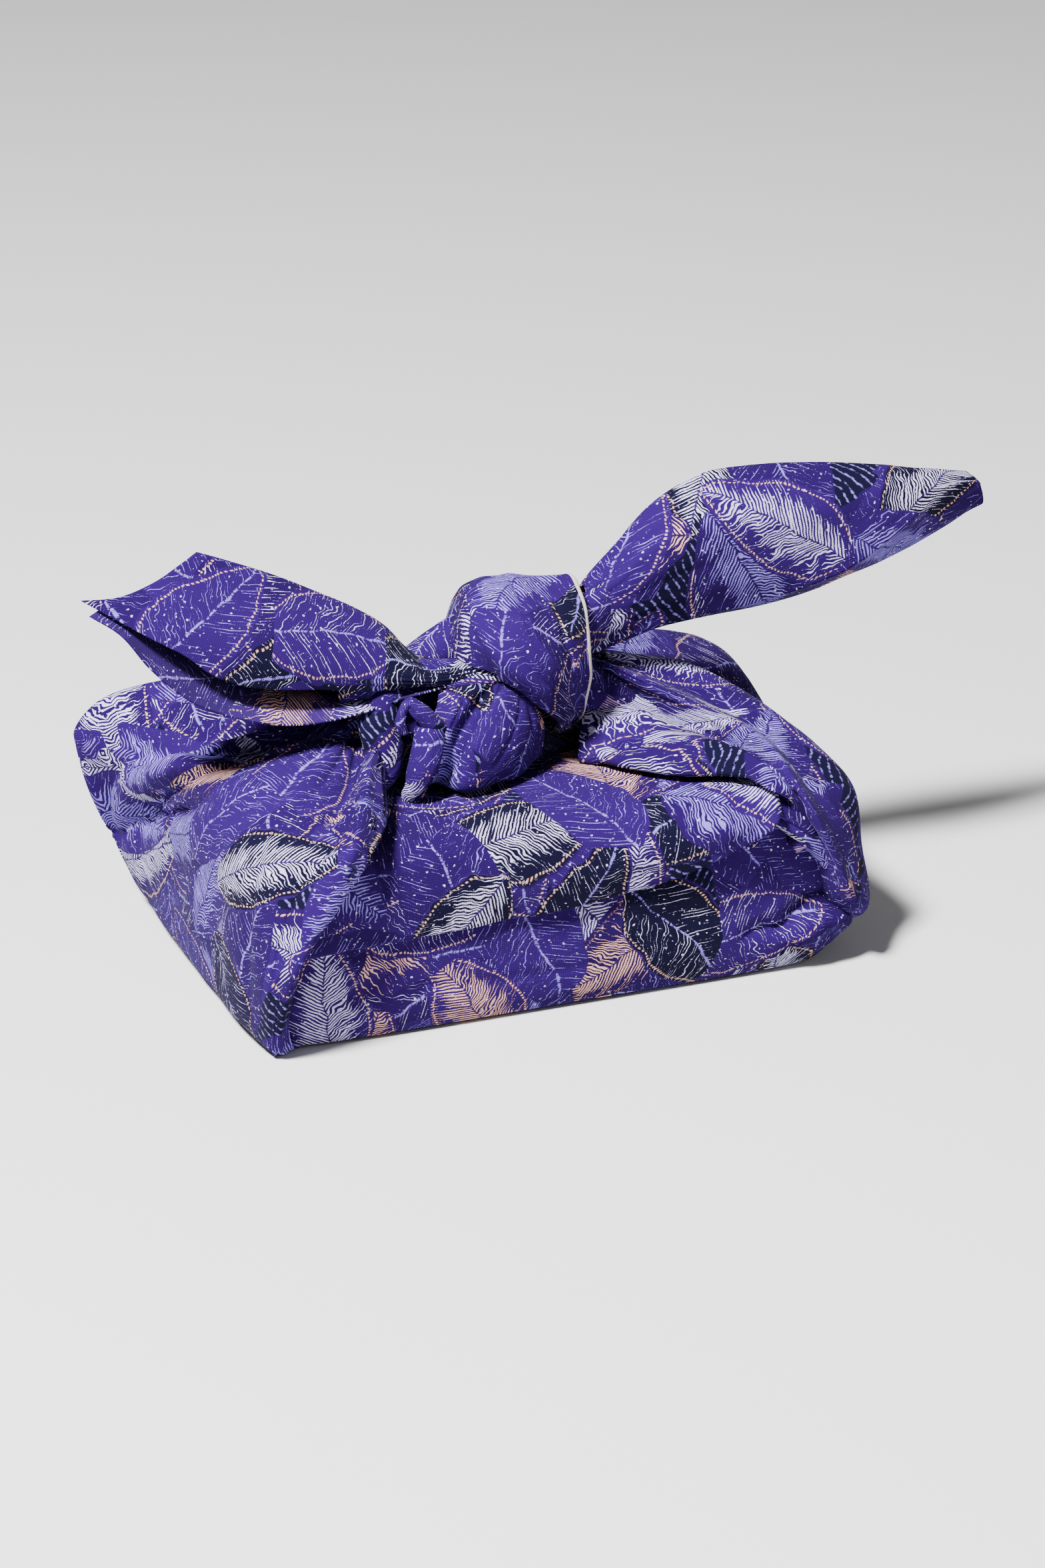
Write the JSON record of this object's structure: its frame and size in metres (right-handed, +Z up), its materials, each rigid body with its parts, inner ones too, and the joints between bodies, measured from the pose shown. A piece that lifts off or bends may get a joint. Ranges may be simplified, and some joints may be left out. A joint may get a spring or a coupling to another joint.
{
  "type": "furoshiki wrap",
  "caption": "Square of printed cotton tied round a flat box: a flap over the top, two gathered ears rising from the ends, and a flat knot above the middle with two free tails",
  "frame": {"origin": "The middle of the flat underside of the wrapped parcel, where it rests on the table. The two tails reach different distances to the left and right, so the origin isn't in the middle of the bounding box.", "axes": "+X runs along the long side of the parcel towards the longer tail, +Z is up, and the front wall with the lip of the flap faces -Y."},
  "size_m": [0.2391, 0.1203, 0.1173],
  "materials": {
    "printed cotton": "matt plain-woven cotton printed in purple, lavender, pale blue-grey, navy and peach, with raw cut edges"
  },
  "bodies": {
    "root": {"furoshiki_wrap": "printed cotton"}
  },
  "joints": []
}
